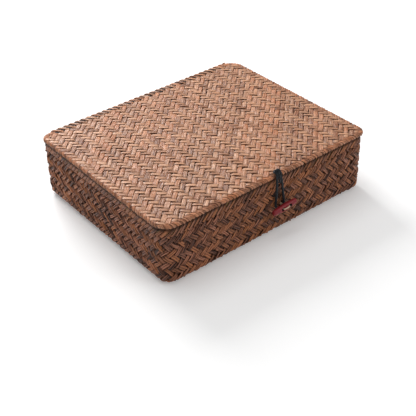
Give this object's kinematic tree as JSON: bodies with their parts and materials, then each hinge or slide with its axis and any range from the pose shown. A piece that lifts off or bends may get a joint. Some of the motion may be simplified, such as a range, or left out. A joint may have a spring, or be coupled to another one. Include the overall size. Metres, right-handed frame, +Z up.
{
  "type": "plaited seagrass lidded box",
  "caption": "Shallow rectangular keepsake box of plaited seagrass with rounded corners, a lid on a plaited hinge and a cord loop that hooks over a wooden toggle.",
  "frame": {"origin": "middle of the flat underside, which is the plane the box stands on", "axes": "+X to the right along the front, +Y from the front to the hinge, +Z up through the lid"},
  "size_m": [0.27, 0.2317, 0.0791],
  "materials": {
    "lid_grass": "plaited seagrass, warm light brown, satin",
    "wall_grass": "plaited seagrass, stained darker brown, satin",
    "hem_grass": "folded and wrapped seagrass strands, brown, satin",
    "cane": "bare split cane and bamboo, matt",
    "lacquered_wood": "dark red clear lacquer over wood, glossy",
    "raffia": "undyed raffia thread, dry",
    "waxed_cord": "black braided cord, lightly waxed"
  },
  "bodies": {
    "base": {"outer_basket": "wall_grass", "lining_basket": "wall_grass", "rim_hoop": "cane", "rim_hem": "hem_grass", "hinge_strip": "hem_grass", "toggle_shank": "raffia"},
    "toggle": {"toggle_bar": "lacquered_wood", "toggle_thread": "raffia"},
    "lid": {"lid_frame": "cane", "lid_hem": "hem_grass", "lid_top_mat": "lid_grass", "lid_under_mat": "wall_grass", "loop_knot": "waxed_cord", "loop_tail": "waxed_cord"},
    "loop": {"closure_loop": "waxed_cord"}
  },
  "joints": [
    {"name": "lid_hinge", "type": "hinge", "parent": "base", "child": "lid", "pos_m": [0, 0.1102, 0.06725], "axis": [-1, 0, 0], "range_deg": [0, 180], "deforming": ["hinge_strip", "closure_loop"]},
    {"name": "toggle_turn", "type": "hinge", "parent": "base", "child": "toggle", "pos_m": [0.0128, -0.1167, 0.034], "axis": [0, 1, 0], "range_deg": [-90, 90]},
    {"name": "loop_swing", "type": "hinge", "parent": "lid", "child": "loop", "pos_m": [0.0059, -0.1129, 0.073], "axis": [-1, 0, 0], "range_deg": [0, 110], "deforming": ["closure_loop"]}
  ]
}
